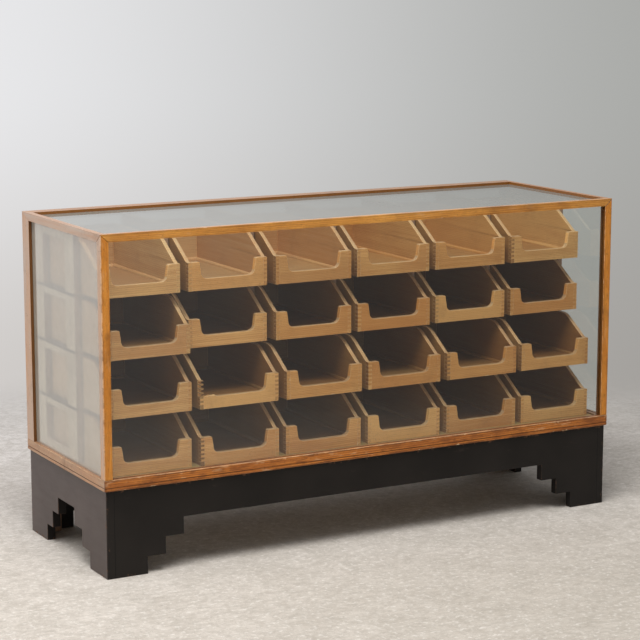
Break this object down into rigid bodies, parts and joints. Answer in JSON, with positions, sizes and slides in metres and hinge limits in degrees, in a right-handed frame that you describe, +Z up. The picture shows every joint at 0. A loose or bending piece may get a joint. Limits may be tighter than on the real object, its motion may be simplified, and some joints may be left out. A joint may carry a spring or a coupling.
{
  "type": "haberdashery cabinet",
  "caption": "Glass-fronted shop counter cabinet on a stepped plinth, with rows of small scooped-front drawers that slide out of its open back",
  "frame": {"origin": "centre of the bounding box in plan, on the floor that the feet stand on", "axes": "+X to the right seen from the glazed front, +Y to the open back where the drawers come out, +Z up"},
  "size_m": [1.22, 0.4294, 0.6921],
  "materials": {
    "frame_oak": "golden oak, waxed, worn along its edges",
    "drawer_wood": "pale hardwood, thinly varnished",
    "ladder_wood": "aged softwood, unfinished, shaded brown",
    "floor_wood": "pale softwood board, unfinished",
    "plinth_black": "ebonised, satin, scuffed at the corners",
    "glass": "old clear sheet glass"
  },
  "bodies": {
    "case": {"rail_bottom_front": "frame_oak", "rail_bottom_left": "frame_oak", "rail_bottom_right": "frame_oak", "rail_bottom_back": "frame_oak", "post_front_left": "frame_oak", "post_front_right": "frame_oak", "post_back_left": "frame_oak", "post_back_right": "frame_oak", "rail_top_front": "frame_oak", "rail_top_left": "frame_oak", "rail_top_right": "frame_oak", "rail_top_back": "frame_oak", "pane_front": "glass", "pane_left": "glass", "pane_right": "glass", "pane_top": "glass", "case_floor": "floor_wood", "ladder_frame_1": "ladder_wood", "ladder_frame_2": "ladder_wood", "ladder_frame_3": "ladder_wood", "ladder_frame_4": "ladder_wood", "ladder_frame_5": "ladder_wood", "ladder_frame_6": "ladder_wood", "ladder_frame_7": "ladder_wood", "plinth_front": "plinth_black", "plinth_back": "plinth_black", "plinth_left": "plinth_black", "plinth_right": "plinth_black", "glue_block_front_left": "ladder_wood", "glue_block_front_right": "ladder_wood", "glue_block_back_left": "ladder_wood", "glue_block_back_right": "ladder_wood"},
    "drawer_row1_col1": {"drawer_row1_col1": "drawer_wood"},
    "drawer_row1_col2": {"drawer_row1_col2": "drawer_wood"},
    "drawer_row1_col3": {"drawer_row1_col3": "drawer_wood"},
    "drawer_row1_col4": {"drawer_row1_col4": "drawer_wood"},
    "drawer_row1_col5": {"drawer_row1_col5": "drawer_wood"},
    "drawer_row1_col6": {"drawer_row1_col6": "drawer_wood"},
    "drawer_row2_col1": {"drawer_row2_col1": "drawer_wood"},
    "drawer_row2_col2": {"drawer_row2_col2": "drawer_wood"},
    "drawer_row2_col3": {"drawer_row2_col3": "drawer_wood"},
    "drawer_row2_col4": {"drawer_row2_col4": "drawer_wood"},
    "drawer_row2_col5": {"drawer_row2_col5": "drawer_wood"},
    "drawer_row2_col6": {"drawer_row2_col6": "drawer_wood"},
    "drawer_row3_col1": {"drawer_row3_col1": "drawer_wood"},
    "drawer_row3_col2": {"drawer_row3_col2": "drawer_wood"},
    "drawer_row3_col3": {"drawer_row3_col3": "drawer_wood"},
    "drawer_row3_col4": {"drawer_row3_col4": "drawer_wood"},
    "drawer_row3_col5": {"drawer_row3_col5": "drawer_wood"},
    "drawer_row3_col6": {"drawer_row3_col6": "drawer_wood"},
    "drawer_row4_col1": {"drawer_row4_col1": "drawer_wood"},
    "drawer_row4_col2": {"drawer_row4_col2": "drawer_wood"},
    "drawer_row4_col3": {"drawer_row4_col3": "drawer_wood"},
    "drawer_row4_col4": {"drawer_row4_col4": "drawer_wood"},
    "drawer_row4_col5": {"drawer_row4_col5": "drawer_wood"},
    "drawer_row4_col6": {"drawer_row4_col6": "drawer_wood"}
  },
  "joints": [
    {"name": "slide_row1_col1", "type": "slide", "parent": "case", "child": "drawer_row1_col1", "axis": [0, 1, 0], "range_m": [-0.0606, 0.2314]},
    {"name": "slide_row1_col2", "type": "slide", "parent": "case", "child": "drawer_row1_col2", "axis": [0, 1, 0], "range_m": [-0.0602, 0.2318]},
    {"name": "slide_row1_col3", "type": "slide", "parent": "case", "child": "drawer_row1_col3", "axis": [0, 1, 0], "range_m": [-0.0555, 0.2365]},
    {"name": "slide_row1_col4", "type": "slide", "parent": "case", "child": "drawer_row1_col4", "axis": [0, 1, 0], "range_m": [-0.0623, 0.2297]},
    {"name": "slide_row1_col5", "type": "slide", "parent": "case", "child": "drawer_row1_col5", "axis": [0, 1, 0], "range_m": [-0.066, 0.226]},
    {"name": "slide_row1_col6", "type": "slide", "parent": "case", "child": "drawer_row1_col6", "axis": [0, 1, 0], "range_m": [-0.0666, 0.2254]},
    {"name": "slide_row2_col1", "type": "slide", "parent": "case", "child": "drawer_row2_col1", "axis": [0, 1, 0], "range_m": [-0.0163, 0.2757]},
    {"name": "slide_row2_col2", "type": "slide", "parent": "case", "child": "drawer_row2_col2", "axis": [0, 1, 0], "range_m": [-0.0623, 0.2297]},
    {"name": "slide_row2_col3", "type": "slide", "parent": "case", "child": "drawer_row2_col3", "axis": [0, 1, 0], "range_m": [-0.0553, 0.2367]},
    {"name": "slide_row2_col4", "type": "slide", "parent": "case", "child": "drawer_row2_col4", "axis": [0, 1, 0], "range_m": [-0.0586, 0.2334]},
    {"name": "slide_row2_col5", "type": "slide", "parent": "case", "child": "drawer_row2_col5", "axis": [0, 1, 0], "range_m": [-0.0645, 0.2275]},
    {"name": "slide_row2_col6", "type": "slide", "parent": "case", "child": "drawer_row2_col6", "axis": [0, 1, 0], "range_m": [-0.0673, 0.2247]},
    {"name": "slide_row3_col1", "type": "slide", "parent": "case", "child": "drawer_row3_col1", "axis": [0, 1, 0], "range_m": [-0.0119, 0.2801]},
    {"name": "slide_row3_col2", "type": "slide", "parent": "case", "child": "drawer_row3_col2", "axis": [0, 1, 0], "range_m": [-0.0112, 0.2808]},
    {"name": "slide_row3_col3", "type": "slide", "parent": "case", "child": "drawer_row3_col3", "axis": [0, 1, 0], "range_m": [-0.0091, 0.2829]},
    {"name": "slide_row3_col4", "type": "slide", "parent": "case", "child": "drawer_row3_col4", "axis": [0, 1, 0], "range_m": [-0.0131, 0.2789]},
    {"name": "slide_row3_col5", "type": "slide", "parent": "case", "child": "drawer_row3_col5", "axis": [0, 1, 0], "range_m": [-0.0145, 0.2775]},
    {"name": "slide_row3_col6", "type": "slide", "parent": "case", "child": "drawer_row3_col6", "axis": [0, 1, 0], "range_m": [-0.0201, 0.2719]},
    {"name": "slide_row4_col1", "type": "slide", "parent": "case", "child": "drawer_row4_col1", "axis": [0, 1, 0], "range_m": [-0.0151, 0.2769]},
    {"name": "slide_row4_col2", "type": "slide", "parent": "case", "child": "drawer_row4_col2", "axis": [0, 1, 0], "range_m": [-0.0097, 0.2823]},
    {"name": "slide_row4_col3", "type": "slide", "parent": "case", "child": "drawer_row4_col3", "axis": [0, 1, 0], "range_m": [-0.0136, 0.2784]},
    {"name": "slide_row4_col4", "type": "slide", "parent": "case", "child": "drawer_row4_col4", "axis": [0, 1, 0], "range_m": [-0.0146, 0.2774]},
    {"name": "slide_row4_col5", "type": "slide", "parent": "case", "child": "drawer_row4_col5", "axis": [0, 1, 0], "range_m": [-0.0152, 0.2768]},
    {"name": "slide_row4_col6", "type": "slide", "parent": "case", "child": "drawer_row4_col6", "axis": [0, 1, 0], "range_m": [-0.0193, 0.2727]}
  ]
}
